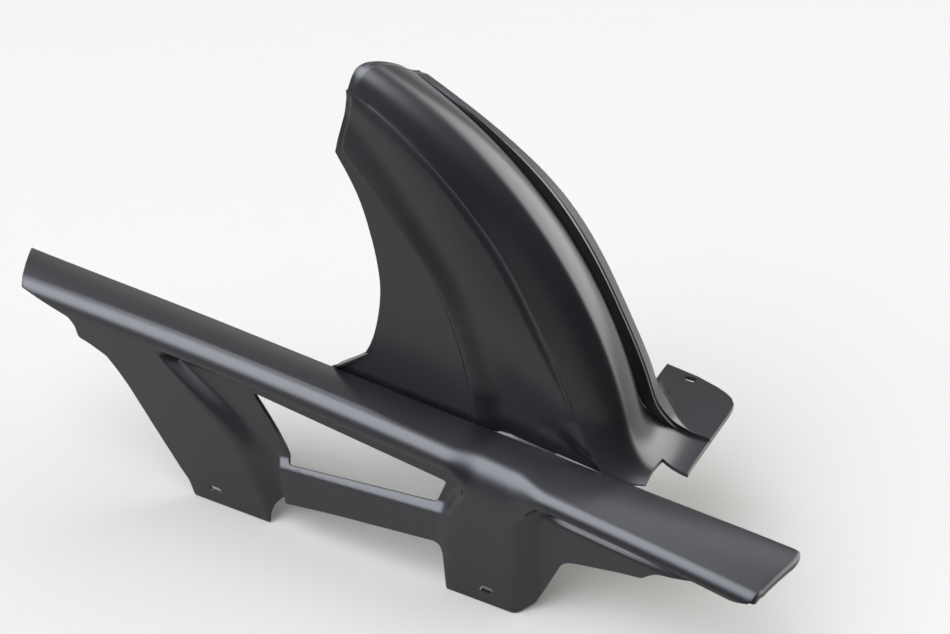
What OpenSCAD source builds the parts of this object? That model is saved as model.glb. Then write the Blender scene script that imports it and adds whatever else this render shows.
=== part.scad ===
// Rear hugger mudguard with chain guard, one moulding in black plastic.
// X runs forward along the motorcycle, Y runs inboard from the chain guard's
// outer face, Z is up. The origin is the centre of the rear lug's slot.

/* [Sheet] */
// Wall thickness of the moulding
sheet_t = 3; // [2.5:0.1:3.6]

/* [Wheel arch] */
// Radius of the arch's crown about the wheel axle
crown_r = 358; // [345:1:370]
// Wheel axle behind the rear lug's slot
axle_back = 42; // [30:1:50]
// Wheel axle above the rear lug's slot
axle_up = 24.5; // [18:0.5:30]
// Angle of the arch's rear end above the horizontal
arch_end_a = 65; // [60:0.5:68]
// Overlap of the near wall's foot with the guard's inner edge
foot_lap = 1.5; // [1:0.1:2.2]
// Inboard position of the far wall at its foot
far_y = 172; // [164:1:176]
// Height of the crown's raised rib above its valley
rib_h = 8.5; // [6:0.5:11]
// Width of the rib's flat top along most of its length
rib_w = 10; // [8:0.5:12]

/* [Base plate] */
// Height of the base plate above the rear lug's slot
plate_z = 90; // [88:0.5:91]
// Front edge of the base plate
plate_x = 337; // [335:0.5:340]
// Width of the base plate beyond the far wall's foot
plate_flange_w = 14; // [12:1:18]
// Radius of the flare from the arch into the base plate
flare_r = 50; // [44:1:56]

/* [Chain guard] */
// Rear end of the guard behind the rear lug's slot
guard_back = 185; // [175:1:195]
// Front end of the guard ahead of the rear lug's slot
guard_front = 429; // [420:1:436]
// Width of the guard's top face
guard_w = 45; // [43:0.5:46]
// Radius of the guard's outer top edge
guard_edge_r = 9; // [7:0.5:10]
// Depth of the flange inside the guard
flange_h = 12; // [10:0.5:14]
// Depth of the panel round the window behind the lugs' faces
recess = 8; // [5:0.5:9]

/* [Lugs] */
// Distance between the two lugs' slots
slot_pitch = 225; // [222:1:228]
// Distance from a slot's centre to the lug's foot
lug_drop = 13; // [11:0.5:15]
// Width of the lug slots
slot_w = 5.5; // [5:0.1:6.5]
// Length of the lug slots, end to end
slot_l = 11; // [9.5:0.5:13]
// Width of the slot in the base plate
plate_slot_w = 4.5; // [4:0.1:5.5]
// Length of the slot in the base plate, end to end
plate_slot_l = 9.5; // [8:0.5:11]

/* [Hidden] */
// Grid steps along the arch
arch_n = 36;
// Inboard position of the near wall's outer face above its foot
wall_in = guard_w + 5;
foot_z = -lug_drop;
// Far edge of the base plate
plate_y = far_y + plate_flange_w;
// Centre of the base plate's slot, in from the plate's front and far edges
plate_slot_in = [40, 10];
// Depth of the cutters, well past one wall and short of the next
cut_d = 36;

function lerp(a, b, t) = a + (b - a) * t;
function clamp01(t) = min(1, max(0, t));
function ease(t) = let (c = clamp01(t)) c * c * (3 - 2 * c);
// 0 before a, 1 after b, smooth between
function ramp(a, b, v) = ease((v - a) / (b - a));
function unit(v) = v / max(norm(v), 1e-9);

// Closed sheet from a grid of outer points, thickened against its normals
module sheet(g, t) {
    ni = len(g);
    nj = len(g[0]);
    function level(p) = [p[0], p[1], max(p[2], foot_z)];
    inner = [for (i = [0:ni - 1]) [for (j = [0:nj - 1])
        let (
            du = g[min(i + 1, ni - 1)][j] - g[max(i - 1, 0)][j],
            dv = g[i][min(j + 1, nj - 1)] - g[i][max(j - 1, 0)]
        ) level(g[i][j] - t * unit(cross(du, dv)))]];
    pts = concat([for (r = g) for (p = r) p], [for (r = inner) for (p = r) p]);
    m = ni * nj;
    at = function (i, j) i * nj + j;
    quads = concat(
        [for (i = [0:ni - 2]) for (j = [0:nj - 2])
            [at(i, j), at(i, j + 1), at(i + 1, j + 1), at(i + 1, j)]],
        [for (i = [0:ni - 2]) for (j = [0:nj - 2])
            [m + at(i, j), m + at(i + 1, j), m + at(i + 1, j + 1), m + at(i, j + 1)]],
        [for (i = [0:ni - 2]) [at(i + 1, 0), m + at(i + 1, 0), m + at(i, 0), at(i, 0)]],
        [for (i = [0:ni - 2])
            [at(i, nj - 1), m + at(i, nj - 1), m + at(i + 1, nj - 1), at(i + 1, nj - 1)]],
        [for (j = [0:nj - 2]) [at(0, j), m + at(0, j), m + at(0, j + 1), at(0, j + 1)]],
        [for (j = [0:nj - 2])
            [at(ni - 1, j + 1), m + at(ni - 1, j + 1), m + at(ni - 1, j), at(ni - 1, j)]]
    );
    tris = [for (q = quads) each [[q[0], q[1], q[2]], [q[0], q[2], q[3]]]];
    polyhedron(points = pts, faces = tris);
}

// Side profile of the arch at radius r: round the axle, then flared into the plate
u_flare = 0.8;
function flare_a(r) = asin((plate_z + flare_r - axle_up) / (r + flare_r));
function spine(r, u, end_a) =
    let (
        a_t = flare_a(r),
        cx = (r + flare_r) * cos(a_t) - axle_back,
        s = (u - u_flare) / (1 - u_flare),
        a = lerp(end_a, a_t, u / u_flare),
        b = lerp(a_t, 90, s),
        run = plate_x - 1 - cx
    )
    u <= u_flare
        ? [r * cos(a) - axle_back, r * sin(a) + axle_up]
        : [cx - flare_r * cos(b) + run * ease(s), plate_z + flare_r - flare_r * sin(b)];

// Smooth curve through points, at t from 0 to 1
function spline(pts, t) =
    let (
        n = len(pts) - 1,
        k = min(n - 1, floor(t * n)),
        f = t * n - k,
        a = pts[max(0, k - 1)], b = pts[k], c = pts[k + 1], d = pts[min(n, k + 2)]
    )
    0.5 * (2 * b + (c - a) * f + (2 * a - 5 * b + 4 * c - d) * f * f
        + (3 * b - a - 3 * c + d) * f * f * f);

// Point of the side view given about the axle, so that it follows the arch
function about_axle(p) = [p[0] * crown_r / 358 - axle_back, p[1] * crown_r / 358 + axle_up];

// Section of the crown from the near crease to the bottom of the valley, as
// [inboard position from the near wall, distance from the crown's radius], at
// five stations from the rear end to the start of the flare
sections = [
    [[-0.5, -19], [2.5, -9], [7, -3.5], [14, -1], [24, -3], [36, -8.5], [46, -15]],
    [[-0.5, -21], [5, -10.5], [11, -4], [18.5, -0.5], [28, -1.5], [37.5, -6], [47, -13]],
    [[-0.5, -25.5], [7, -12.5], [14, -5], [22, -0.8], [30, -0.8], [38, -4.5], [47, -11]],
    [[-0.5, -31.5], [5.5, -17], [12, -7.5], [20.5, -2], [30, -2], [38.5, -6], [47, -12.5]],
    [[-0.5, -31.5], [5, -19], [11, -9.5], [20, -4], [30, -4], [39, -7.5], [47, -12]]
];
function section(k, u) =
    [wall_in, 0] + spline([for (s = sections) s[k]], min(u / u_flare, 1));
// The arch's rear edge leans: turn of each row's end from arch_end_a
end_turn = [-0.2, 0.2, 0.4, 0.2, -0.8, -1.8, -2.3, -2.6, -2.8, -3, -3.2];

// How far the rib stands up, and how wide its top is, along the arch
function rib_rise(u) =
    (rib_h + 1.5 * ramp(0.6, 0.8, u)) * ramp(0.08, 0.38, u) * (1 - ramp(0.86, 0.98, u));
function rib_top(u) =
    (lerp(3, rib_w, ramp(0, 0.5, u)) + 1.5 * ramp(0.65, 0.78, u)) * (1 - 0.8 * ramp(0.84, 0.97, u));
// The valley and the rib swing inboard as they run out onto the plate
valley_swing = 19;
valley_share = [0, 0, 0, 0, 0.15, 0.5, 1];

crown_rows = 11;
// Where the near crease meets the guard's inner edge
crease_foot = [291, plate_z - 3.5];
function crown_flat(k, u) =
    let (
        swing = valley_swing * ramp(0.78, 1, u),
        slim = 1 - 0.8 * ramp(0.84, 0.98, u),
        rise = rib_rise(u),
        p = k <= 6 ? section(k, u) + [swing * valley_share[k], 0]
            : section(6, u) + [swing, 0]
                + (k == 7 ? [1.2 * slim, 0.35 * rise]
                    : k == 8 ? [2.2 * slim, 0.85 * rise]
                    : k == 9 ? [3.2 * slim, rise]
                    : [3.2 * slim + rib_top(u), rise]),
        s = spine(crown_r + p[1], u, arch_end_a + end_turn[k])
    ) [s[0], p[0], s[1]];
// The near crease runs straight on down to the guard where the rest flares out
crease_pull = [1, 0.6, 0.25];
function crown_row(k, u) =
    u <= u_flare || k > 2 ? crown_flat(k, u)
    : let (
        s = (u - u_flare) / (1 - u_flare),
        from = crown_flat(0, u_flare),
        straight = lerp(from, [crease_foot[0], inner_y(crease_foot[0]) - foot_lap, crease_foot[1]], s)
    ) crown_flat(k, u) + crease_pull[k] * (straight - crown_flat(0, u));

// Lower edge of the near wall: the concave free edge, then under the guard's flange
free_edge = [[135, 262], [146, 232], [155, 203], [160, 175], [160, 152], [155, 125],
    [147, 106], [135, 93], [118, 84]];
u_foot = 0.5;
function near_low(u) =
    u <= u_foot ? about_axle(spline(free_edge, u / u_foot))
    : lerp([about_axle(free_edge[8])[0] - 4, plate_z + 15], [plate_x - 37.7, plate_z - 5.5],
        (u - u_foot) / (1 - u_foot));
// Swage line of the near wall, close to a circle in the side view
swage_c = [-68, 86];
swage_r = 258.5;
function near_pt(u, w) =
    let (
        top = crown_row(0, u),
        low = near_low(u),
        x = lerp(top[0], low[0], w),
        z = lerp(top[2], low[1], w),
        d = norm([x, z] - swage_c) - swage_r + 4 * exp(-pow((z - 248) / 30, 2)),
        // the wall steps in from the swage line, and comes back out to the crease
        deep = 3 + 3 * (1 - ramp(100, 300, z)),
        dish = deep * ramp(-3, 32, d) * ramp(0, 0.45, w),
        y = lerp(wall_in, top[1], pow(1 - w, 3)) + dish
    ) [x, lerp(y, inner_y(x) - foot_lap, ramp(14, -4, z - top_in(x))), z];
near_steps = 10;

// Lower edge of the far wall, each as [share of the arch's length, where]: a
// concave free edge, a foot that stands level with the lugs, then up to the plate
far_x = [[0, 94], [0.07, 107], [0.14, 117], [0.21, 121], [0.28, 119], [0.35, 114], [0.42, 113],
    [0.48, 122], [0.52, 132], [0.62, 190], [0.68, 214], [0.74, 246], [0.8, 268],
    [0.84, plate_x - 59], [0.9, plate_x - 38], [0.95, plate_x - 17], [1, plate_x - 1]];
far_out = [[0, 59], [0.14, 49], [0.28, 32], [0.42, 10], [0.48, 3], [0.52, 0], [0.8, 0], [0.84, 2],
    [0.9, 26], [0.95, 50.5], [1, 53]];
far_z = [[0, 288], [0.07, 262], [0.14, 230], [0.21, 195], [0.28, 155], [0.35, 110], [0.42, 60],
    [0.48, 10], [0.52, foot_z], [0.62, foot_z], [0.68, 8], [0.74, 52], [0.8, plate_z - 10],
    [0.84, plate_z - sheet_t], [1, plate_z - sheet_t / 2]];
function far_pt(u, w) =
    let (
        top = crown_row(crown_rows - 1, u),
        low = [lookup(u, far_x), far_y - lookup(u, far_out), lookup(u, far_z)]
    ) lerp(top, low, w);
far_steps = 8;

module arch_sheet() {
    grid = [for (i = [0:arch_n]) let (u = i / arch_n) concat(
        [for (s = [near_steps:-1:1]) near_pt(u, s / near_steps)],
        [for (k = [0:crown_rows - 1]) crown_row(k, u)],
        [for (s = [1:far_steps]) far_pt(u, s / far_steps)]
    )];
    sheet(grid, sheet_t);
}

// Notch that clears the swingarm between the guard and the base plate
module plate_notch() {
    translate([0, 0, plate_z - 30])
        linear_extrude(60)
            polygon([[plate_x - 23, guard_w - 10], [plate_x - 23, guard_w + 4],
                [plate_x - 20, guard_w + 34], [plate_x + 10, guard_w + 31],
                [plate_x + 10, guard_w - 10]]);
}

// Flat flange of the base plate outside the arch
module plate_flange() {
    translate([0, 0, plate_z - sheet_t])
        linear_extrude(sheet_t)
            polygon([[plate_x - 12, 96], [plate_x - 1, 96], [plate_x, 150],
                [plate_x - 0.5, plate_y - 28], [plate_x - 2, plate_y - 22],
                [plate_x - 5, plate_y - 17], [plate_x - 11, plate_y - 13],
                [plate_x - 19, plate_y - 9], [plate_x - 36, plate_y - 4],
                [plate_x - 62, plate_y], [plate_x - 62, far_y - 1.5],
                [plate_x - 11.5, far_y - 60]]);
}

// Height of the guard's top face along its outer and inner edges
function top_out(x) = 125.5 - 0.07 * x - 0.00012 * x * x;
function inner_y(x) = guard_w + 7 * ramp(200, 425, x);
function top_in(x) =
    118 - 0.0725 * x - 0.9 * (inner_y(x) - guard_w) + 0.0085 * max(0, 150 - x);

// Lines of the outer wall in the side view, as [height, x] for those that climb
facet_rear = [[-15, 47], [0, 43], [48, 21], [115, -43], [140, -60]];
facet_front = [[-15, 60], [46, 52], [59, 44], [74, 28], [87, 6], [112, -36], [140, -56]];
lug_rear = [[-15, 193], [15, 195], [30, 193], [58, 195], [78, 206], [92, 220]];
rail_top = [[40, 43], [57, 44], [193, 55], [230, 58]];

function wall_y(x, z) =
    let (
        rear = lookup(z, facet_rear),
        front = lookup(z, facet_front),
        lug = lookup(z, lug_rear),
        under = top_out(x) - guard_edge_r - z,
        panel = recess * ramp(rear, front, x) * (1 - ramp(lug - 8, lug + 3, x)) * ramp(0, 14, under),
        rail_z = lookup(x, rail_top),
        rail = ramp(front, front + 5, x) * (1 - ramp(rail_z - 3, rail_z + 6, z)),
        nose = 12 * ramp(246, 262, x) * ramp(0, 13, under)
    ) panel * (1 - 0.85 * rail) + nose;

// How much further out each end of the guard reaches on the inboard side
rear_slant = 26;
nose_slant = 15;
guard_rear_x = rear_slant - guard_back;
guard_nose_x = guard_front - nose_slant;
// Lines that the wall's columns follow up the side view, each with its steps to
// the next: rear end, both sides of the facet, both sides of the front lug's
// step, both sides of the nose's step, front end
column_steps = [9, 6, 12, 5, 4, 4, 12];
function column_line(k, z) =
    k == 0 ? guard_rear_x
    : k == 1 ? lookup(z, facet_rear)
    : k == 2 ? lookup(z, facet_front)
    : k == 3 ? lookup(z, lug_rear) - 8
    : k == 4 ? lookup(z, lug_rear) + 3
    : k == 5 ? slot_pitch + 21
    : k == 6 ? slot_pitch + 37
    : guard_nose_x;
stations = concat(
    [for (k = [0:len(column_steps) - 1]) for (i = [0:column_steps[k] - 1]) k + i / column_steps[k]],
    [len(column_steps)]);
function column_x(c, z) =
    let (k = min(floor(c), len(column_steps) - 1))
    lerp(column_line(k, z), column_line(k + 1, z), c - k);

wall_steps = 18;
edge_steps = 5;
top_steps = 4;
// The flange's corner and depth below the inner edge, as [inboard, down]
flange_rows = [[-1.7, 0.35], [-0.6, 1.3], [0, 3.2], [0, flange_h]];
guard_rows = wall_steps + edge_steps + top_steps + 1 + len(flange_rows);
function guard_point(c, j) =
    let (
        r = guard_edge_r,
        low = foot_z - 3,
        x = column_x(c, lerp(low, 115, min(1, j / wall_steps))),
        zo = top_out(x),
        e = j - wall_steps,
        t = e - edge_steps
    )
    j < wall_steps ? let (z = lerp(low, zo - r, j / wall_steps)) [x, wall_y(x, z), z]
    : e <= edge_steps ? let (a = 90 * e / edge_steps) [x, r - r * cos(a), zo - r + r * sin(a)]
    : t <= top_steps ? let (f = t / top_steps)
        [x, lerp(r, inner_y(x) - 3.2, f), lerp(zo, top_in(x), f) + 1.2 * (1 - pow(2 * f - 1, 2))]
    : let (d = flange_rows[t - top_steps - 1])
        [x, inner_y(x) + d[0], top_in(x) - d[1]];

module guard_sheet() {
    // both ends slant: they reach further out on the inboard side
    function slant(p) =
        let (
            v = (p[0] - guard_rear_x) / (guard_nose_x - guard_rear_x),
            inboard = clamp01(p[1] / guard_w),
            reach = nose_slant * ramp(0.75, 1, v) - rear_slant * (1 - ramp(0, 0.25, v))
        ) p + [inboard * reach, 0, 0];
    sheet([for (c = stations) [for (j = [0:guard_rows - 1]) slant(guard_point(c, j))]], sheet_t);
}

// Side view of what is left of the guard's walls: rear end, rear lug, rail,
// front lug and nose
module guard_outline() {
    polygon([[-guard_back - 20, 180], [-guard_back - 20, 122], [-159, 128], [-118, 116],
        [-113, 110], [-111, 101], [-101, 98], [-87, 92], [-78, 82], [-69, 70], [-51, 41], [-30, 8],
        [-24, 0], [-20, foot_z], [47, foot_z], [48, -4], [50, 3], [55, 9], [100, 16], [184, 26],
        [188, 24], [190, 18], [193, foot_z], [slot_pitch + 24, foot_z], [slot_pitch + 33, -7],
        [slot_pitch + 50, 34], [slot_pitch + 54, 38], [slot_pitch + 60, 40], [317, 46], [332, 48],
        [337, 53], [342, 56], [362, 59], [guard_front - 22, 68.8], [guard_front + 20, 76],
        [guard_front + 20, 180]]);
}

module window() {
    offset(2) offset(-2)
        polygon([[36, 97], [190, 77], [183, 58], [64, 46], [60.5, 56], [54.5, 68], [46, 82]]);
}

// Slot along X through a wall that faces Y or Z, centred on the origin
module slot(width, length, depth) {
    for (x = [-1, 1] * (length - width) / 2)
        translate([x, 0, -depth / 2])
            cylinder(d = width, h = depth, $fn = 32);
    cube([length - width, width, depth], center = true);
}

// Prism across the guard from an outline in the side view
module across(depth) {
    translate([0, depth / 2, 0])
        rotate([90, 0, 0])
            linear_extrude(depth)
                children();
}

module chain_guard() {
    difference() {
        intersection() {
            guard_sheet();
            across(200) guard_outline();
        }
        across(cut_d) window();
    }
}

module wheel_arch() {
    difference() {
        union() {
            arch_sheet();
            plate_flange();
        }
        plate_notch();
    }
}

module moulding() {
    chain_guard();
    wheel_arch();
}

module rear_hugger() {
    color("#2b2c2f")
        difference() {
            resize([guard_back + guard_front, 0, 0])
                moulding();
            rotate([90, 0, 0])
                slot(slot_w, slot_l, cut_d);
            translate([slot_pitch, 0, 0])
                rotate([90, 0, 0])
                    slot(slot_w, slot_l, cut_d);
            translate([plate_x - plate_slot_in[0], plate_y - plate_slot_in[1], plate_z])
                slot(plate_slot_w, plate_slot_l, cut_d);
        }
}

rear_hugger();
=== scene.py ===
import bpy
import numpy as np
from mathutils import Matrix, Vector
from mathutils.geometry import delaunay_2d_cdt


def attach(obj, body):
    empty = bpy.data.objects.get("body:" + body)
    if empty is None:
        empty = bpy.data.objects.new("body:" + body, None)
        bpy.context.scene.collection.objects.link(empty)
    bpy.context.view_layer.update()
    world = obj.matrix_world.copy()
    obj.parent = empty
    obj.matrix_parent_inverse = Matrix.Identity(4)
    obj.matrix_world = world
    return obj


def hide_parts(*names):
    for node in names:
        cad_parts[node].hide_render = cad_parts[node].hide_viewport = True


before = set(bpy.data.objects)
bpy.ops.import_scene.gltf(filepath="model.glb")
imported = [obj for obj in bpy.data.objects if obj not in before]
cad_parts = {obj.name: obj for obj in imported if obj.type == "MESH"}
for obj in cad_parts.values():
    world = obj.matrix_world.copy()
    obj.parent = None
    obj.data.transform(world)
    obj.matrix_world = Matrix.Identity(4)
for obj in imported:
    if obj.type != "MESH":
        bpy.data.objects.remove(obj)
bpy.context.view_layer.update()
MM = 0.001

# ---------------------------------------------------------------- sizes, in mm
# Wall, the rounding of its free edges, and how far a 45 degree point of a rounding lies in, per radius
SHEET, EDGE_ROUND, CUT = 3.0, 0.8, 0.29
# Wheel arch: crown's radius, axle, angle of the rear end
CROWN_R, AXLE_X, AXLE_Z, ARCH_END = 358.0, -42.0, 24.5, 65.0
# Base plate's front edge and top, and the flare of the arch into it
PLATE_X, PLATE_Z, FLARE_R = 337.0, 90.0, 50.0
# Chain guard: ends, width, inner flange, slant of the ends in plan
GUARD_BACK, GUARD_FRONT, GUARD_W, FLANGE = -185.0, 429.0, 45.0, 12.0
REAR_SLANT, NOSE_SLANT = 26.0, 15.0
# Setbacks of the guard's panel and of the nose's wall, and the nose's ledge
RECESS, NOSE_RECESS, LEDGE = 8.0, 12.0, 4.5
# Feet of the lugs and of the far wall, and the far wall's place
FOOT_Z, FAR_Y = -13.0, 172.0
# Near wall's place, how far its foot laps the guard's flange, and the depths over which it turns in to it
WALL_IN, FOOT_LAP, TURN_IN, TURNED = GUARD_W + 5, 1.6, -6.5, -8.5
RIB_H, RIB_W = 8.5, 10.0
# Lip along the arch's rear edge: depth and width; groove beside the near crease
LIP, LIP_W, CREASE_GROOVE = 1.8, 4.5, 0.8
# Share of the arch's length at which it starts to flare
U_FLARE = 0.8
# Slots as (length, width)
SLOT_PITCH, LUG_SLOT, PLATE_SLOT, PLATE_SLOT_AT = 225.0, (11, 5.5), (9.5, 4.5), (297, 176)
# The photo's view: azimuth, elevation, focal length and width in pixels
AZIMUTH, ELEVATION = np.radians(28), np.radians(35)
FOCAL, WIDTH = 1800, 950


def ramp(a, b, v):
    """0 before a, 1 after b, smooth between."""
    c = np.clip((v - a) / (b - a), 0, 1)
    return c * c * (3 - 2 * c)


def lerp(a, b, t):
    """Straight blend from a to b."""
    return a + (b - a) * t


def unit(v):
    """Vectors at length 1."""
    return v / np.maximum(np.linalg.norm(v, axis=-1, keepdims=True), 1e-9)


def spline(pts, t):
    """Smooth curve through points, at t from 0 to 1."""
    pts = np.asarray(pts, float)
    n = len(pts) - 1
    t = np.asarray(t, float)
    k = np.minimum(n - 1, np.floor(t * n)).astype(int)
    f = (t * n - k).reshape(t.shape + (1,) * (pts.ndim - 1))
    a, b, c, d = pts[np.maximum(0, k - 1)], pts[k], pts[k + 1], pts[np.minimum(n, k + 2)]
    return 0.5 * (2 * b + (c - a) * f + (2 * a - 5 * b + 4 * c - d) * f**2 + (3 * b - a - 3 * c + d) * f**3)


def along(pts, v):
    """Table of [place, value] looked up at v."""
    pts = np.asarray(pts, float)
    return np.interp(v, pts[:, 0], pts[:, 1])


def soft_along(pts, v, width):
    """Table looked up with its corners softened over a width."""
    return sum(along(pts, v + width * s) for s in np.linspace(-1, 1, 7)) / 7


# ---------------------------------------------------------------- chain guard
def top_out(x):
    """Height of the guard's top at its outer edge."""
    return 125.5 - 0.07 * x - 0.00012 * x * x


def inner_y(x):
    """Place of the guard's inner side."""
    return GUARD_W + 7 * ramp(200, 425, x)


def top_in(x):
    """Height of the guard's top at its inner side."""
    return 118 - 0.0725 * x - 0.9 * (inner_y(x) - GUARD_W) + 0.0085 * np.maximum(0, 150 - x)


# Lines of the outer wall in the side view, as [height, x]
FACET_REAR = [[-15, 47], [0, 43], [48, 21], [115, -43], [140, -60]]
FACET_FRONT = [[-15, 60], [46, 52], [59, 44], [74, 28], [87, 6], [112, -36], [140, -56]]
LUG_REAR = [[-15, 193], [15, 195], [30, 193], [58, 195], [78, 206], [92, 220]]
# Top of the rail, as [x, height]
RAIL_TOP = [[40, 43], [57, 44], [193, 55], [230, 58]]


def edge_size(x):
    """Breadth and height of the rounding along the guard's outer edge, broad over the front lug."""
    lug = ramp(192, 216, x) * (1 - ramp(238, 264, x))
    nose = ramp(240, 270, x)
    return 12 + 5 * lug - 2 * nose, 13 + 15 * lug - 3 * nose


def wall_top(x):
    """Height at which the wall ends and the edge starts to round."""
    return top_out(x) - edge_size(x)[1]


def wall_y(x, z):
    """How far the outer wall is set back: the panel with its facet, the rail, the lug and the nose."""
    rear, front = soft_along(FACET_REAR, z, 6), soft_along(FACET_FRONT, z, 6)
    lug = soft_along(LUG_REAR, z, 6)
    under = wall_top(x) - z
    panel = RECESS * ramp(rear, front, x) * (1 - ramp(lug - 8, lug + 3, x)) * ramp(0, 9, under)
    rail_z = along(RAIL_TOP, x)
    rail = ramp(front, front + 5, x) * (1 - ramp(rail_z - 3, rail_z + 6, z))
    # the nose's wall is set back, and comes out again over a soft ledge that fades to the front
    ledge = LEDGE * ramp(252, 280, x) * (1 - ramp(300, 400, x))
    nose = NOSE_RECESS * ramp(0, 10, under) + ledge * (ramp(0, 3, under) - ramp(13, 19, under))
    return panel * (1 - 0.85 * rail) + ramp(244, 262, x) * nose


# Lower outline of the guard's wall in the side view, rear to front
OUTLINE = np.array([
    [-159, 128], [-118, 116], [-113, 110], [-111, 101], [-101, 98], [-87, 92], [-78, 82], [-69, 70], [-51, 41],
    [-30, 8], [-24, 0], [-20, -13], [47, -13], [48, -4], [50, 3], [55, 9], [100, 16], [184, 26], [188, 24],
    [190, 18], [193, -13], [249, -13], [258, -7], [275, 34], [279, 38], [285, 40], [317, 46], [332, 48],
    [337, 53], [342, 56], [362, 59], [407, 68.8], [414, 69.8]], float)
WINDOW = np.array([[36, 97], [190, 77], [183, 58], [64, 46], [60.5, 56], [54.5, 68], [46, 82]], float)
REAR_X, NOSE_X = GUARD_BACK + REAR_SLANT, GUARD_FRONT - NOSE_SLANT
# Path up the skin: 0 where the outer edge starts to round, then the top face, the inner corner and the flange
CORNER_R, TOP_RUN, TOP_CROWN = 3.2, 30.0, 1.2
V_TOP = 20.0
V_CORNER = V_TOP + TOP_RUN
V_FLANGE = V_CORNER + CORNER_R * np.pi / 2
V_END = V_FLANGE + FLANGE - CORNER_R
# The front end rolls over: radius, turn, length of the straight strip after it; cut of its inner corner
ROLL_R, ROLL_TURN, ROLL_STRIP, NOSE_CORNER = 3.5, 1.45, 2.5, 6.0
X_ROLL = NOSE_X - ROLL_R
X_END = X_ROLL + ROLL_R * ROLL_TURN + ROLL_STRIP


def skin_flat(x, v):
    """Point of the guard's skin at x, where v runs up the wall and over the top."""
    z1, (broad, high) = wall_top(x), edge_size(x)
    zi, yi = top_in(x), inner_y(x)
    a = np.clip(v / V_TOP, 0, 1) * np.pi / 2
    f = np.clip((v - V_TOP) / TOP_RUN, 0, 1)
    b = np.clip((v - V_CORNER) / CORNER_R, 0, np.pi / 2)
    y = np.where(v <= 0, wall_y(x, z1 + np.minimum(v, 0)), broad - broad * np.cos(a))
    z = np.where(v <= 0, z1 + v, z1 + high * np.sin(a))
    y = np.where(v > V_TOP, lerp(broad, yi - CORNER_R, f), y)
    z = np.where(v > V_TOP, lerp(top_out(x), zi, f) + TOP_CROWN * (1 - (2 * f - 1) ** 2), z)
    y = np.where(v > V_CORNER, yi - CORNER_R + CORNER_R * np.sin(b), y)
    z = np.where(v > V_CORNER, zi - CORNER_R + CORNER_R * np.cos(b) - np.maximum(0, v - V_FLANGE), z)
    # the ends slant: further out on the inboard side
    s = (x - REAR_X) / (NOSE_X - REAR_X)
    inboard = np.clip(y / GUARD_W, 0, 1)
    x = x + inboard * (NOSE_SLANT * ramp(0.75, 1, s) - REAR_SLANT * (1 - ramp(0, 0.25, s)))
    x = x - NOSE_CORNER * np.clip((v - V_CORNER + 9) / 12, 0, 1) ** 2 * ramp(0.93, 1, s)
    return np.stack([x, y, z], -1)


def skin_normal(fn, x, v, h=0.05):
    """Outward normal of a skin."""
    return unit(np.cross(fn(x + h, v) - fn(x - h, v), fn(x, v + h) - fn(x, v - h)))


def skin(x, v):
    """The skin with its front end rolled over."""
    x0 = np.minimum(x, X_ROLL)
    p = skin_flat(x0, v)
    n = skin_normal(skin_flat, x0, v)
    a = np.clip((x - X_ROLL) / ROLL_R, 0, ROLL_TURN)
    d = unit(skin_flat(x0 + 0.1, v) - p)
    strip = np.maximum(0, x - X_ROLL - ROLL_TURN * ROLL_R)
    ahead = ROLL_R * np.sin(a) + strip * np.cos(ROLL_TURN)
    down = ROLL_R * (1 - np.cos(a)) + strip * np.sin(ROLL_TURN)
    down = down * (1 - 0.8 * ramp(V_CORNER - 9, V_CORNER, v))
    return p + d * ahead[..., None] - n * down[..., None]


def skin_v(x, z):
    """Path height of a side-view point."""
    d = z - wall_top(x)
    return np.where(d <= 0, d, V_TOP * 2 / np.pi * np.arcsin(np.clip(d / edge_size(x)[1], 0, 1)))


def trace(corners, radius, step, closed=True):
    """Points along a polygon, its corners rounded and its sides divided."""
    c = np.asarray(corners, float)
    n, out = len(c), []
    for i, p in enumerate(c):
        if not closed and i in (0, n - 1):
            out.append([p])
            continue
        q, r = c[i - 1], c[(i + 1) % n]
        a = p + (q - p) * min(radius / np.linalg.norm(q - p), 0.4)
        b = p + (r - p) * min(radius / np.linalg.norm(r - p), 0.4)
        t = np.linspace(0, 1, 4)[:, None]
        out.append(list((1 - t) ** 2 * a + 2 * t * (1 - t) * p + t * t * b))
    pts = []
    for i in range(n if closed else n - 1):
        a, b = out[i][-1], out[(i + 1) % n][0]
        m = max(1, int(np.ceil(np.linalg.norm(b - a) / step)))
        pts += out[i] + [lerp(a, b, k / m) for k in range(1, m)]
    return np.array(pts if closed else pts + out[-1])


def inside(poly, p):
    """Whether each point lies in the polygon."""
    a, b = poly, np.roll(poly, -1, 0)
    hit = np.zeros(len(p), bool)
    for (x0, y0), (x1, y1) in zip(a, b):
        if y0 != y1:
            cross = (p[:, 1] > min(y0, y1)) & (p[:, 1] <= max(y0, y1))
            hit ^= cross & (p[:, 0] < x0 + (p[:, 1] - y0) * (x1 - x0) / (y1 - y0))
    return hit


def distance(poly, p):
    """Distance of each point from the polygon's sides."""
    best = np.full(len(p), 1e9)
    for a, b in zip(poly, np.roll(poly, -1, 0)):
        near = (np.abs(p - (a + b) / 2) < np.abs(b - a) / 2 + 3).all(1)
        d = b - a
        t = np.clip(((p[near] - a) @ d) / max(d @ d, 1e-12), 0, 1)
        best[near] = np.minimum(best[near], np.linalg.norm(p[near] - a - t[:, None] * d, axis=1))
    return best


# Spacing of the skin's points: round the outer edge, along the top, between the wall's rows and along them,
# and the room left beside an edge
EDGE_STEP, TOP_STEP, ROW_STEP, WALL_STEP, ROOM = 1.45, 2.6, 1.75, 2.0, 1.0


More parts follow.
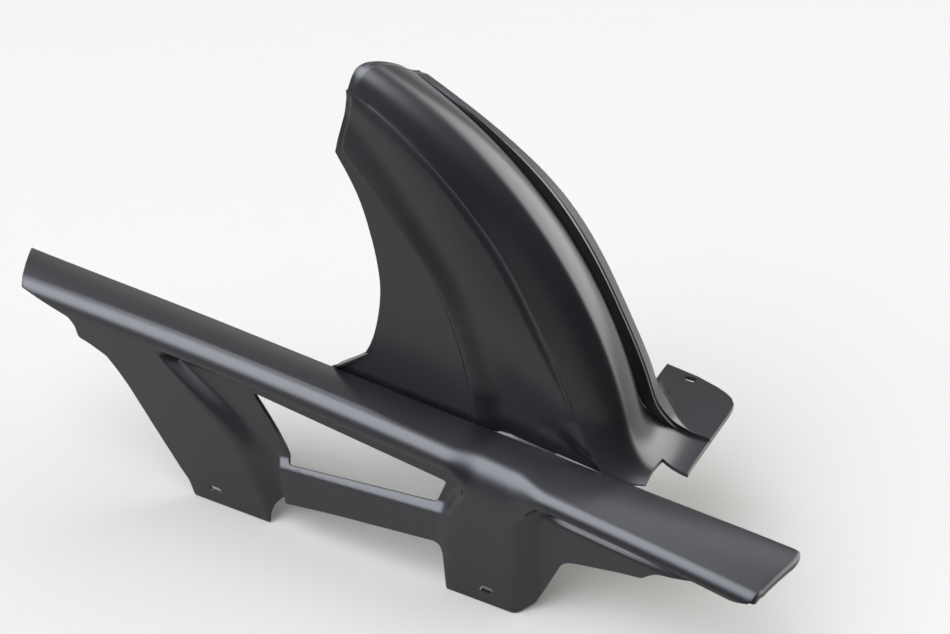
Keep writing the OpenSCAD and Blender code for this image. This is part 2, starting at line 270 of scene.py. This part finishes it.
def guard_sheet():
    """Points, normals and triangles of the guard's outer skin."""
    low = trace(OUTLINE, 2.0, WALL_STEP, closed=False)
    low = np.column_stack([low[:, 0], skin_v(low[:, 0], low[:, 1])])
    rows = np.concatenate([np.arange(0, V_TOP, EDGE_STEP), np.linspace(V_TOP, V_CORNER, 17),
                           V_CORNER + CORNER_R * np.pi / 2 * np.array([0.25, 0.5, 0.75]),
                           np.linspace(V_FLANGE, V_END, 5)])
    front_v = np.concatenate([np.arange(low[-1, 1], -1.2, WALL_STEP), rows])
    back_v = rows[rows > low[0, 1] + 0.8][::-1]
    roll = np.linspace(X_ROLL, X_END, 8)
    low = np.concatenate([low[low[:, 0] < X_ROLL - 1], np.column_stack([roll, np.full(8, low[-1, 1])])])
    top_x = np.concatenate([np.arange(REAR_X + TOP_STEP, X_ROLL - 1.4, TOP_STEP), roll])
    edge = np.concatenate([low, np.column_stack([np.full(len(front_v) - 1, X_END), front_v[1:]]),
                           np.column_stack([top_x[::-1][1:], np.full(len(top_x) - 1, V_END)]),
                           np.column_stack([np.full(len(back_v), REAR_X), back_v])])
    hole = trace(WINDOW, 2.5, WALL_STEP)
    hole = np.column_stack([hole[:, 0], skin_v(hole[:, 0], hole[:, 1])])
    cells = [np.stack(np.meshgrid(top_x, rows[:-1]), -1).reshape(-1, 2)]
    for k, v in enumerate(np.arange(-ROW_STEP, -140, -ROW_STEP)):
        x = np.concatenate([np.arange(REAR_X + k % 2, X_ROLL - 1.2, WALL_STEP), roll[:-1]])
        cells.append(np.column_stack([x, np.full(len(x), v)]))
    cells = np.concatenate(cells)
    cells = cells[inside(edge, cells) & ~inside(hole, cells)]
    cells = cells[(distance(edge, cells) > ROOM) & (distance(hole, cells) > ROOM)]
    pts = np.concatenate([edge, hole, cells])
    n, m = len(edge), len(hole)
    ring = [(i, (i + 1) % n) for i in range(n)] + [(n + i, n + (i + 1) % m) for i in range(m)]
    pts, _, tris = delaunay_2d_cdt([Vector(p) for p in pts], ring, [], 0, 1e-4)[:3]
    pts, tris = np.array([tuple(p) for p in pts]), np.array(tris)
    mid = pts[tris].mean(1)
    tris = tris[inside(edge, mid) & ~inside(hole, mid)]
    a, b, c = (pts[tris[:, k]] for k in range(3))
    turn = (b[:, 0] - a[:, 0]) * (c[:, 1] - a[:, 1]) - (b[:, 1] - a[:, 1]) * (c[:, 0] - a[:, 0])
    tris[turn < 0] = tris[turn < 0][:, ::-1]
    return skin(pts[:, 0], pts[:, 1]), skin_normal(skin, pts[:, 0], pts[:, 1]), tris


# ---------------------------------------------------------------- wheel arch
def spine(r, u, end_a):
    """Side view of a line along the arch at radius r: an arc about the axle, then the flare into the plate."""
    a_t = np.arcsin((PLATE_Z + FLARE_R - AXLE_Z) / (r + FLARE_R))
    cx = (r + FLARE_R) * np.cos(a_t) + AXLE_X
    a = lerp(np.radians(end_a), a_t, u / U_FLARE)
    s = np.clip((u - U_FLARE) / (1 - U_FLARE), 0, 1)
    b = lerp(a_t, np.pi / 2, s)
    run = PLATE_X - 1 - cx
    x = np.where(u <= U_FLARE, r * np.cos(a) + AXLE_X, cx - FLARE_R * np.cos(b) + run * ramp(0, 1, s))
    z = np.where(u <= U_FLARE, r * np.sin(a) + AXLE_Z, PLATE_Z + FLARE_R - FLARE_R * np.sin(b))
    return x, z


# Section of the crown from the near crease to the bottom of the valley, as [inboard position from the near
# wall, distance from the crown's radius], at five stations from the rear end to the start of the flare
SECTIONS = np.array([
    [[-0.5, -19], [2.5, -9], [7, -3.5], [14, -1], [25, -2.2], [38, -7.5], [46, -13]],
    [[1, -22.5], [6, -11], [11.5, -4.2], [18.5, -0.6], [30, -1.2], [40, -5.5], [47, -13]],
    [[4, -29.6], [8, -14.5], [12.5, -5.5], [18.5, -1], [31, -0.9], [41, -4.5], [47, -11]],
    [[4, -35.6], [7.5, -19], [11.5, -8.5], [17.5, -2.5], [31, -2], [41, -6], [47, -12.5]],
    [[4, -35.6], [7, -21], [11, -10.5], [17.5, -4.5], [31, -4], [41, -7.5], [47, -12]]], float)
# The arch's rear edge leans: degrees by which each row's end is turned
END_TURN = [0.4, 0.7, 0.7, 0.2, -0.8, -1.8, -2.3, -2.6, -2.8, -3, -3.2]
# The valley swings inboard over the flare, and takes a share of the rows beside it along
VALLEY_SWING, VALLEY_SHARE = 19.0, [0, 0, 0, 0, 0.15, 0.5, 1]
CROWN_ROWS = 11
# Foot of the near crease at the guard, and the share of its pull that each row beside it takes
CREASE_FOOT, CREASE_PULL = (291.0, PLATE_Z - 3.5), [1, 0.6, 0.25]


def section(k, u):
    """Point k of the crown's section, as [place, distance from the crown's radius]."""
    return [WALL_IN, 0] + spline(SECTIONS[:, k], np.minimum(u / U_FLARE, 1))


def rib_rise(u):
    """Height of the rib over the valley."""
    return (RIB_H + 1.5 * ramp(0.6, 0.8, u)) * ramp(-0.06, 0.38, u) * (1 - ramp(0.86, 0.98, u))


def rib_top(u):
    """Breadth of the rib's top."""
    return (lerp(3, RIB_W, ramp(0, 0.5, u)) + 1.5 * ramp(0.65, 0.78, u)) * (1 - 0.8 * ramp(0.84, 0.97, u))


def crown_flat(k, u):
    """Row k of the crown: the section's points, then the rib's side and top."""
    swing = VALLEY_SWING * ramp(0.78, 1, u)
    slim = 1 - 0.8 * ramp(0.84, 0.98, u)
    rise = rib_rise(u)
    if k <= 6:
        y, r = np.moveaxis(section(k, u), -1, 0)
        y = y + swing * VALLEY_SHARE[k]
    else:
        y, r = np.moveaxis(section(6, u), -1, 0)
        dy, dr = {7: (1.2 * slim, 0.35 * rise), 8: (2.2 * slim, 0.85 * rise), 9: (3.2 * slim, rise),
                  10: (3.2 * slim + 1.4 * rib_top(u), rise - 0.36 * rib_top(u))}[k]
        y, r = y + swing + dy, r + dr
    x, z = spine(CROWN_R + r, u, ARCH_END + END_TURN[k])
    return np.stack([x, y, z], -1)


def crown_row(k, u):
    """Row k of the crown with the near crease led down to the guard."""
    flat = crown_flat(k, u)
    if k > 2:
        return flat
    # the near crease runs straight on down to the guard where the rest flares out
    s = np.clip((u - U_FLARE) / (1 - U_FLARE), 0, 1)[..., None]
    start = crown_flat(0, np.array(U_FLARE))
    foot = np.array([CREASE_FOOT[0], inner_y(CREASE_FOOT[0]) - FOOT_LAP, CREASE_FOOT[1]])
    pull = CREASE_PULL[k] * (lerp(start, foot, s) - crown_flat(0, u))
    return np.where(s > 0, flat + pull, flat)


# Near wall's lower edge about the axle: the concave free edge, then under the guard's flange
FREE_EDGE = np.array([[130.5, 261], [146, 232], [155, 203], [160, 175], [160, 152], [155, 125],
                      [147, 106], [135, 93], [118, 84]], float)
U_FOOT = 0.5


def near_low(u):
    """Lower edge of the near wall in the side view."""
    a = spline(FREE_EDGE, np.clip(u / U_FOOT, 0, 1)) + [AXLE_X, AXLE_Z]
    s = np.clip((u - U_FOOT) / (1 - U_FOOT), 0, 1)[..., None]
    start = np.array([FREE_EDGE[8, 0] + AXLE_X - 4, PLATE_Z + 11.5])
    return np.where((u <= U_FOOT)[..., None], a, lerp(start, np.array([PLATE_X - 37.7, PLATE_Z - 7.5]), s))


# Swage line of the near wall, close to a circle in the side view
SWAGE_C, SWAGE_R = np.array([-68.0, 86.0]), 258.5


def past_swage(x, z):
    """Distance outside the swage line."""
    return np.hypot(x - SWAGE_C[0], z - SWAGE_C[1]) - SWAGE_R + 4 * np.exp(-((z - 248) / 30) ** 2)


def near_side(u, w):
    """Side view of the near wall, w from its crease at 0 to its lower edge at 1."""
    top, low = crown_row(0, u), near_low(u)
    return lerp(top[..., 0], low[..., 0], w), lerp(top[..., 2], low[..., 1], w)


def near_pt(u, w):
    """Point of the near wall, dished past the swage line and turned in to the guard's flange at its foot."""
    x, z = near_side(u, w)
    deep = 3 + 3 * (1 - ramp(100, 300, z))
    dish = deep * ramp(0, 22, past_swage(x, z)) * ramp(0, 0.45, w)
    out = (1 - w) ** 1.5 * ramp(-2, 70, past_swage(x, z))
    y = lerp(WALL_IN - 4, crown_row(0, u)[..., 1], out) + dish
    y = lerp(y, inner_y(x) - FOOT_LAP, ramp(TURN_IN, TURNED, z - top_in(x)))
    return np.stack([x, y, z], -1)


def near_rows(u):
    """Shares of the near wall's height for its rows, close together at the swage line and at the crease."""
    w = np.linspace(0, 1, 401)
    x, z = near_side(u[:, None], w)
    high = np.hypot(x[:, -1] - x[:, 0], z[:, -1] - z[:, 0])
    d = past_swage(x, z)
    at = np.where((d < 0).any(1), w[np.argmax(d < 0, axis=1)], 1)
    at = np.clip(at, 0.1, 0.97)
    fine = 4.5 / high
    lower = np.minimum(at + fine, 0.985)
    upper = np.maximum(at - fine, 0.07)
    crease = np.minimum(9 / high, 0.06)
    foot, top = np.ones_like(at), np.zeros_like(at)
    rows = []
    for n, start, end in ((12, foot, lower), (15, lower, upper), (20, upper, crease), (10, crease, top)):
        rows += [lerp(start, end, f) for f in np.arange(n) / n]
    return rows


# Lower edge of the far wall: x, distance outboard of FAR_Y and z, each as [share of the arch's length, value].
# Its foot slants, so it is lifted by as much as the sheet's inner side lies lower.
FOOT_LIFT = 0.75
FAR_X = [[0, 94], [0.07, 107], [0.14, 117], [0.21, 121], [0.28, 119], [0.35, 114], [0.42, 113], [0.48, 122],
         [0.52, 132], [0.62, 190], [0.68, 214], [0.74, 246], [0.8, 268], [0.84, PLATE_X - 59],
         [0.9, PLATE_X - 38], [0.95, PLATE_X - 17], [1, PLATE_X - 1]]
FAR_OUT = [[0, 59], [0.14, 49], [0.28, 32], [0.42, 10], [0.48, 3], [0.52, 0], [0.8, 0], [0.84, 2], [0.9, 26],
           [0.95, 50.5], [1, 53]]
FAR_Z = [[0, 288], [0.07, 262], [0.14, 230], [0.21, 195], [0.28, 155], [0.35, 110], [0.42, 60], [0.48, 10],
         [0.52, FOOT_Z + FOOT_LIFT], [0.62, FOOT_Z + FOOT_LIFT], [0.68, 8], [0.74, 52], [0.8, PLATE_Z - 10],
         [0.84, PLATE_Z - SHEET], [1, PLATE_Z - SHEET / 2]]


def far_pt(u, w):
    """Point of the far wall, w from the rib at 0 to its lower edge at 1."""
    low = np.stack([along(FAR_X, u), FAR_Y - along(FAR_OUT, u), along(FAR_Z, u)], -1)
    return lerp(crown_row(CROWN_ROWS - 1, u), low, w)


def arch_sheet(n_along=160, n_sub=3, n_far=26):
    """Points, normals and quads of the arch's outer skin, with its turned-in lip and its fine creases."""
    u = np.concatenate([np.arange(0, 0.026, 0.0016), np.linspace(0.028, 1, n_along)])
    rows = [near_pt(u, w) for w in near_rows(u)]
    n_near = len(rows)
    n_crown = (CROWN_ROWS - 1) * n_sub + 1
    crown = np.stack([crown_row(k, u) for k in range(CROWN_ROWS)])
    rows += list(spline(crown, np.linspace(0, 1, n_crown)))
    rows += [far_pt(u, w) for w in np.linspace(0, 1, n_far + 1)[1:]]
    g = np.stack(rows, 1)

    def from_crease():
        return np.linalg.norm(g - g[:, n_near:n_near + 1], axis=-1)

    # a strip along the rear edge lies lower, and runs on as the panel under the swage line
    steps = np.linalg.norm(np.diff(g, axis=0), axis=-1)
    run = np.concatenate([np.zeros((1, g.shape[1])), np.cumsum(steps, 0)])
    from_edge = run - LIP_W
    under = past_swage(g[..., 0], g[..., 2])
    both = -3.0 * np.log(np.exp(-from_edge / 3) + np.exp(-np.clip(under, -60, 60) / 3))
    # shares of each row that belong to the near wall, the crown and the far wall
    j = np.arange(g.shape[1])
    side = 1 - ramp(n_near - 4, n_near + 3, j)
    far = ramp(n_near + n_crown - 3, n_near + n_crown + 5, j)
    top = (1 - side) * (1 - far)
    lip = side * (1 - ramp(-0.9, 0.9, both)) + (1 - side) * (1 - ramp(-2.5, 2.5, from_edge))
    depth = LIP * (side * lerp(0.25, 1, ramp(110, 200, g[..., 2])) + (1 - side) * 0.8)
    radial = unit(np.stack([g[..., 0] - AXLE_X, 0 * g[..., 0], g[..., 2] - AXLE_Z], -1))
    inward = unit((side - far)[:, None] * [0, 1, 0] - top[:, None] * radial)
    keep = 1 - ramp(TURN_IN, TURNED, g[..., 2] - top_in(g[..., 0])) * side
    g = g + inward * (lip * depth * keep * ramp(1, 9, from_crease()))[..., None]
    # the near crease is drawn by a shallow groove beside it
    dist = from_crease()
    groove = CREASE_GROOVE * ramp(0.4, 2.2, dist) * (1 - ramp(2.5, 8.5, dist)) * (j < n_near)
    g[..., 1] += groove * ramp(4, 12, run) * keep
    n = unit(np.cross(np.gradient(g, axis=0), np.gradient(g, axis=1)))
    idx = np.arange(g.shape[0] * g.shape[1]).reshape(g.shape[:2])
    quads = np.stack([idx[:-1, :-1], idx[1:, :-1], idx[1:, 1:], idx[:-1, 1:]], -1).reshape(-1, 4)
    return g.reshape(-1, 3), n.reshape(-1, 3), quads


# ---------------------------------------------------------------- meshes
def rim(t, r):
    """Rounded edge of a sheet from its outer side to its inner, as [inset, depth] per radius."""
    return [(CUT, CUT), (0, 1), (0, t / r - 1), (CUT, t / r - CUT)]


def shell(p, n, faces, t=SHEET, r=EDGE_ROUND):
    """Closed sheet from an outer skin, with every free edge rounded. Returns points and faces."""
    sides = faces.shape[1]
    half = np.concatenate([faces[:, [k, (k + 1) % sides]] for k in range(sides)])
    owner = np.tile(np.arange(len(faces)), sides)
    seen = {(a, b) for a, b in half.tolist()}
    border = [(a, b, o) for (a, b), o in zip(half.tolist(), owner.tolist()) if (b, a) not in seen]
    centre = p[faces].mean(1)
    away = {}
    for a, b, o in border:
        e = unit(p[b] - p[a])
        s = (p[a] + p[b]) / 2 - centre[o]
        s = unit(s - e * (s @ e))
        for q in (a, b):
            away.setdefault(q, []).append(s)
    loop = sorted(away)
    s_of = np.array([unit(np.sum(away[q], 0)) for q in loop])
    used = np.unique(faces)
    new = -np.ones(len(p), int)
    new[used] = np.arange(len(used))
    outer = p.copy()
    inner = p - t * n
    outer[loop] -= r * s_of
    inner[loop] -= r * s_of
    pts = [outer[used], inner[used]]
    m = len(used)
    ring_at = {q: i for i, q in enumerate(loop)}
    base = 2 * m
    rings = []
    for inset, depth in rim(t, r):
        pts.append(p[loop] - r * inset * s_of - r * depth * n[loop])
        rings.append(base)
        base += len(loop)
    out = [tuple(q) for q in new[faces].tolist()]
    out += [tuple(m + i for i in reversed(q)) for q in new[faces].tolist()]
    for a, b, _ in border:
        line_a = [new[a]] + [g + ring_at[a] for g in rings] + [m + new[a]]
        line_b = [new[b]] + [g + ring_at[b] for g in rings] + [m + new[b]]
        for k in range(len(line_a) - 1):
            out.append((int(line_b[k]), int(line_a[k]), int(line_a[k + 1]), int(line_b[k + 1])))
    return np.concatenate(pts), out


def plate_polygon(outline, z_top, t=SHEET, r=EDGE_ROUND):
    """Flat plate with a rounded rim from its outline in plan, run counter-clockwise."""
    o = np.asarray(outline, float)
    e = unit(np.roll(o, -1, 0) - o)
    side = np.stack([e[:, 1], -e[:, 0]], -1)
    s = unit(side + np.roll(side, 1, 0))
    pts, n = [], len(o)
    for inset, depth in [(1, 0), *rim(t, r), (1, t / r)]:
        q = o - r * inset * s
        pts.append(np.column_stack([q, np.full(n, z_top - r * depth)]))
    faces = [tuple(range(n)), tuple(reversed(range(5 * n, 6 * n)))]
    for k in range(5):
        for i in range(n):
            j = (i + 1) % n
            faces.append((k * n + j, k * n + i, (k + 1) * n + i, (k + 1) * n + j))
    return np.concatenate(pts), faces


def new_object(name, pts, faces):
    """Object in the scene from points in mm."""
    mesh = bpy.data.meshes.new(name)
    mesh.from_pydata((np.asarray(pts) * MM).tolist(), [], faces)
    mesh.validate()
    obj = bpy.data.objects.new(name, mesh)
    bpy.context.scene.collection.objects.link(obj)
    return obj


def prism(name, outline, low, high, axis):
    """Closed prism from an outline: along z if axis is 2, along y if it is 1."""
    n = len(outline)
    pts = []
    for level in (low, high):
        for a, b in outline:
            pts.append((a, b, level) if axis == 2 else (a, level, b))
    faces = [tuple(range(n)), tuple(reversed(range(n, 2 * n)))]
    faces += [((i + 1) % n, i, n + i, n + (i + 1) % n) for i in range(n)]
    obj = new_object(name, pts, faces)
    bpy.context.view_layer.objects.active = obj
    bpy.ops.object.mode_set(mode="EDIT")
    bpy.ops.mesh.select_all(action="SELECT")
    bpy.ops.mesh.normals_make_consistent(inside=False)
    bpy.ops.object.mode_set(mode="OBJECT")
    return obj


def combine(obj, other, operation):
    """Boolean of obj with other, which is then removed."""
    m = obj.modifiers.new("bool", "BOOLEAN")
    m.operation = operation
    m.solver = "MANIFOLD"
    m.object = other
    bpy.context.view_layer.objects.active = obj
    bpy.ops.object.modifier_apply(modifier=m.name)
    bpy.data.objects.remove(other, do_unlink=True)


def slot_outline(at, size, n=12):
    """Outline of a round-ended slot that runs along x, from its middle and its (length, width)."""
    (cx, cy), (length, width) = at, size
    reach = (length - width) / 2
    out = []
    for side in (1, -1):
        for k in range(n + 1):
            a = np.pi * (k / n - 0.5)
            out.append((cx + side * (reach + width / 2 * np.cos(a)), cy + side * width / 2 * np.sin(a)))
    return out


# Outlines in plan of the base plate and of the notch beside the guard
PLATE = [[325, 96], [336, 96], [337, 150], [336.6, 158], [335.5, 163.5], [332, 169], [326, 173.3],
         [318, 176.8], [301, 182], [275, 186], [275, 159], [288, 157]]
NOTCH = [[PLATE_X - 23, GUARD_W - 10], [PLATE_X - 23, GUARD_W + 4], [PLATE_X - 20, GUARD_W + 34],
         [PLATE_X + 10, GUARD_W + 31], [PLATE_X + 10, GUARD_W - 10]]

hugger = new_object("hugger_moulding", *shell(*guard_sheet()))
arch = new_object("arch_sheet", *shell(*arch_sheet()))
combine(arch, new_object("plate", *plate_polygon(PLATE, PLATE_Z)), "UNION")
combine(arch, prism("notch", NOTCH, PLATE_Z - 30, PLATE_Z + 30, 2), "DIFFERENCE")
combine(hugger, arch, "UNION")
for x in (0, SLOT_PITCH):
    combine(hugger, prism("slot", slot_outline((x, 0), LUG_SLOT), -15, 15, 1), "DIFFERENCE")
slot = slot_outline(PLATE_SLOT_AT, PLATE_SLOT)
combine(hugger, prism("slot", slot, PLATE_Z - 10, PLATE_Z + 10, 2), "DIFFERENCE")

mesh = hugger.data
mesh.shade_smooth()
bpy.context.view_layer.objects.active = hugger
hugger.select_set(True)
bpy.ops.object.shade_smooth_by_angle(angle=np.radians(50))
weighted = hugger.modifiers.new("weighted", "WEIGHTED_NORMAL")
weighted.keep_sharp = True
bpy.ops.object.modifier_apply(modifier=weighted.name)


# ---------------------------------------------------------------- material
def moulded_black():
    """Satin black with a faint cloud in tone and gloss, and a fine grain."""
    mat = bpy.data.materials.new("satin_black_moulding")
    mat.use_nodes = True
    nodes, links = mat.node_tree.nodes, mat.node_tree.links
    shader = nodes["Principled BSDF"]
    coords = nodes.new("ShaderNodeTexCoord")
    cloud = nodes.new("ShaderNodeTexNoise")
    cloud.inputs["Scale"].default_value = 9
    cloud.inputs["Detail"].default_value = 3
    tint = nodes.new("ShaderNodeValToRGB")
    tint.color_ramp.elements[0].position = 0.3
    tint.color_ramp.elements[0].color = (0.005, 0.0051, 0.0055, 1)
    tint.color_ramp.elements[1].position = 0.7
    tint.color_ramp.elements[1].color = (0.007, 0.0071, 0.0077, 1)
    gloss = nodes.new("ShaderNodeMapRange")
    gloss.inputs["To Min"].default_value = 0.29
    gloss.inputs["To Max"].default_value = 0.33
    grain = nodes.new("ShaderNodeTexNoise")
    grain.inputs["Scale"].default_value = 1400
    grain.inputs["Detail"].default_value = 2
    bump = nodes.new("ShaderNodeBump")
    bump.inputs["Strength"].default_value = 0.06
    bump.inputs["Distance"].default_value = 0.0002
    links.new(coords.outputs["Object"], cloud.inputs["Vector"])
    links.new(coords.outputs["Object"], grain.inputs["Vector"])
    links.new(cloud.outputs["Fac"], tint.inputs["Fac"])
    links.new(tint.outputs["Color"], shader.inputs["Base Color"])
    links.new(cloud.outputs["Fac"], gloss.inputs["Value"])
    links.new(gloss.outputs["Result"], shader.inputs["Roughness"])
    links.new(grain.outputs["Fac"], bump.inputs["Height"])
    links.new(bump.outputs["Normal"], shader.inputs["Normal"])
    shader.inputs["IOR"].default_value = 1.5
    return mat


mesh.materials.clear()
mesh.materials.append(moulded_black())
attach(hugger, "root")
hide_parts("rear_hugger")


# ---------------------------------------------------------------- floor, lights, camera
def plain(name, colour, rough):
    """Matt material, all but even."""
    mat = bpy.data.materials.new(name)
    mat.use_nodes = True
    nodes, links = mat.node_tree.nodes, mat.node_tree.links
    shader = nodes["Principled BSDF"]
    shader.inputs["Roughness"].default_value = rough
    noise = nodes.new("ShaderNodeTexNoise")
    noise.inputs["Scale"].default_value = 2
    tint = nodes.new("ShaderNodeValToRGB")
    tint.color_ramp.elements[0].color = (*[c * 0.985 for c in colour], 1)
    tint.color_ramp.elements[1].color = (*colour, 1)
    links.new(noise.outputs["Fac"], tint.inputs["Fac"])
    links.new(tint.outputs["Color"], shader.inputs["Base Color"])
    return mat


def floor():
    """Swept white paper: its near edge ends short of the camera, its far side rises behind the part."""
    near, back, wall, top, half = 0.34, 1.6, 2.6, 5.0, 4.0
    pts, n = [], 24
    for x in (-half, half):
        pts.append((x, -near, 0))
        pts += [(x, back + wall * np.sin(a), wall - wall * np.cos(a)) for a in np.linspace(0, np.pi / 2, n)]
        pts.append((x, back + wall, top))
    m = len(pts) // 2
    faces = [(i, i + m, i + m + 1, i + 1) for i in range(m - 1)]
    data = bpy.data.meshes.new("floor")
    level = FOOT_Z * MM - 0.0001
    data.from_pydata([(x, y, z + level) for x, y, z in pts], [], faces)
    data.shade_smooth()
    obj = bpy.data.objects.new("floor", data)
    bpy.context.scene.collection.objects.link(obj)
    obj.rotation_euler = (0, 0, AZIMUTH)
    data.materials.append(plain("floor_white", (0.268, 0.26, 0.238), 0.9))


# Parts of the tent, as [direction, colour, degrees out to which it is full, degrees at which it ends]
TENT = [
    [(-0.30, -0.52, 0.80), (7.4, 7.6, 8.6), 20, 44],
    [(0.72, 0.66, 0.22), (5.6, 5.6, 5.6), 30, 54],
    [(-0.55, 0.62, 0.56), (3.2, 3.3, 3.7), 15, 48],
]
TENT_BASE, DARK = (0.62, 0.63, 0.65), (0.015, 0.015, 0.017)
OPENING = [(0.62, -0.78, 0.10), 38, 58]


def tent_world():
    """White tent with brighter parts, and a dark opening low down on the camera's side."""
    world = bpy.data.worlds.new("tent")
    bpy.context.scene.world = world
    world.use_nodes = True
    nodes, links = world.node_tree.nodes, world.node_tree.links
    shade = nodes["Background"]
    coords = nodes.new("ShaderNodeTexCoord")

    def share(direction, full, end):
        """1 near a direction, 0 away from it."""
        dot = nodes.new("ShaderNodeVectorMath")
        dot.operation = "DOT_PRODUCT"
        dot.inputs[1].default_value = Vector(direction).normalized()
        step = nodes.new("ShaderNodeMapRange")
        step.interpolation_type = "SMOOTHSTEP"
        step.inputs["From Min"].default_value = np.cos(np.radians(end))
        step.inputs["From Max"].default_value = np.cos(np.radians(full))
        links.new(coords.outputs["Generated"], dot.inputs[0])
        links.new(dot.outputs["Value"], step.inputs["Value"])
        return step.outputs["Result"]

    def mix(kind, factor, a, b):
        """Two colours mixed, each a value or a socket."""
        node = nodes.new("ShaderNodeMix")
        node.data_type = "RGBA"
        node.blend_type = kind
        links.new(factor, node.inputs["Factor"])
        for socket, value in ((node.inputs[6], a), (node.inputs[7], b)):
            if isinstance(value, tuple):
                socket.default_value = (*value, 1)
            else:
                links.new(value, socket)
        return node.outputs[2]

    direction, full, end = OPENING
    colour = mix("MIX", share(direction, full, end), TENT_BASE, DARK)
    for direction, tint, full, end in TENT:
        colour = mix("ADD", share(direction, full, end), colour, tint)
    links.new(colour, shade.inputs["Color"])
    shade.inputs["Strength"].default_value = 1.0


def softbox(name, place, aim, size, power):
    """Large rectangular light aimed at a point."""
    light = bpy.data.lights.new(name, "AREA")
    light.shape = "RECTANGLE"
    light.size, light.size_y = size
    light.energy = power
    obj = bpy.data.objects.new(name, light)
    bpy.context.scene.collection.objects.link(obj)
    obj.location = place
    obj.rotation_euler = (Vector(aim) - Vector(place)).to_track_quat("-Z", "Y").to_euler()


bpy.context.scene.view_settings.view_transform = "Standard"
floor()
tent_world()
softbox("ceiling", (-0.2, 0.1, 1.9), (0.1, 0.1, 0), (1.4, 1.4), 5)

camera = bpy.data.cameras.new("camera")
camera.sensor_width = 36
camera.lens = FOCAL / WIDTH * camera.sensor_width
camera.clip_end = 50
cam = bpy.data.objects.new("camera", camera)
bpy.context.scene.collection.objects.link(cam)
a, e = AZIMUTH, ELEVATION
right = Vector((np.cos(a), np.sin(a), 0))
back = Vector((np.sin(a) * np.cos(e), -np.cos(a) * np.cos(e), np.sin(e)))
up = back.cross(right)
turn = Matrix((right, up, back)).transposed().to_4x4()
cam.matrix_world = Matrix.Translation((0.64427, -0.80465, 0.86452)) @ turn
bpy.context.scene.camera = cam
